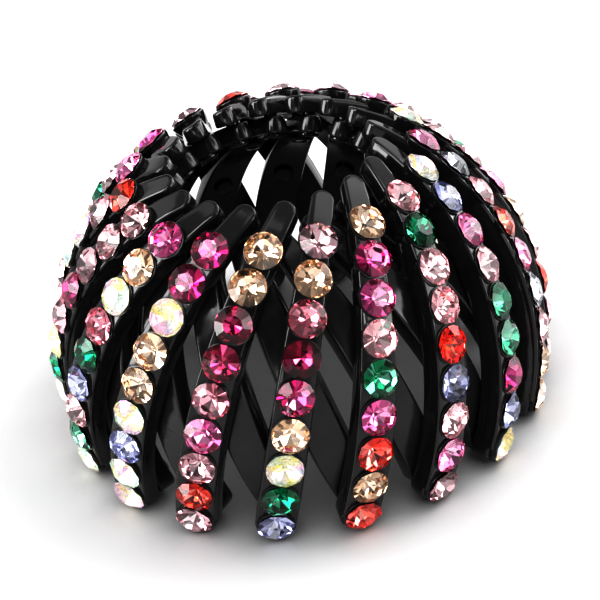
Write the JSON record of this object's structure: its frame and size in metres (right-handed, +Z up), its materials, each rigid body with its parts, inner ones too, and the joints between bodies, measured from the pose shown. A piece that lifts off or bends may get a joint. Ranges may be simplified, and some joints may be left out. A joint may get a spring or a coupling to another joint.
{
  "type": "bird nest hair clip",
  "caption": "Open dome of crossing glossy black ribs with rows of mixed pink, red, green and clear round rhinestones, open at the top and bottom, worn round a hair bun.",
  "frame": {"origin": "middle of the bottom mouth, level with the flat feet of the outer ribs", "axes": "+Z up along the dome's axis, from the bottom mouth to the top hole; -Y towards the front"},
  "size_m": [0.0756, 0.075, 0.0439],
  "materials": {
    "outer_rib_black": "glossy moulded black",
    "inner_rib_black": "glossy moulded black",
    "rhinestones": "foil-backed cut glass in mixed fuchsia, rose, peach, red, emerald, lilac and rainbow-coated clear"
  },
  "bodies": {
    "root": {"outer_rib_01": "outer_rib_black", "outer_rib_02": "outer_rib_black", "outer_rib_03": "outer_rib_black", "outer_rib_04": "outer_rib_black", "outer_rib_05": "outer_rib_black", "outer_rib_06": "outer_rib_black", "outer_rib_07": "outer_rib_black", "outer_rib_08": "outer_rib_black", "outer_rib_09": "outer_rib_black", "outer_rib_10": "outer_rib_black", "outer_rib_11": "outer_rib_black", "outer_rib_12": "outer_rib_black", "outer_rib_13": "outer_rib_black", "outer_rib_14": "outer_rib_black", "outer_rib_15": "outer_rib_black", "outer_rib_16": "outer_rib_black", "outer_rib_17": "outer_rib_black", "outer_rib_18": "outer_rib_black", "inner_rib_01": "inner_rib_black", "inner_rib_02": "inner_rib_black", "inner_rib_03": "inner_rib_black", "inner_rib_04": "inner_rib_black", "inner_rib_05": "inner_rib_black", "inner_rib_06": "inner_rib_black", "inner_rib_07": "inner_rib_black", "inner_rib_08": "inner_rib_black", "inner_rib_09": "inner_rib_black", "inner_rib_10": "inner_rib_black", "inner_rib_11": "inner_rib_black", "inner_rib_12": "inner_rib_black", "inner_rib_13": "inner_rib_black", "inner_rib_14": "inner_rib_black", "inner_rib_15": "inner_rib_black", "inner_rib_16": "inner_rib_black", "inner_rib_17": "inner_rib_black", "inner_rib_18": "inner_rib_black", "rhinestone_row_01": "rhinestones", "rhinestone_row_02": "rhinestones", "rhinestone_row_03": "rhinestones", "rhinestone_row_04": "rhinestones", "rhinestone_row_05": "rhinestones", "rhinestone_row_06": "rhinestones", "rhinestone_row_07": "rhinestones", "rhinestone_row_08": "rhinestones", "rhinestone_row_09": "rhinestones", "rhinestone_row_10": "rhinestones", "rhinestone_row_11": "rhinestones", "rhinestone_row_12": "rhinestones", "rhinestone_row_13": "rhinestones", "rhinestone_row_14": "rhinestones", "rhinestone_row_15": "rhinestones", "rhinestone_row_16": "rhinestones", "rhinestone_row_17": "rhinestones", "rhinestone_row_18": "rhinestones"}
  },
  "joints": []
}
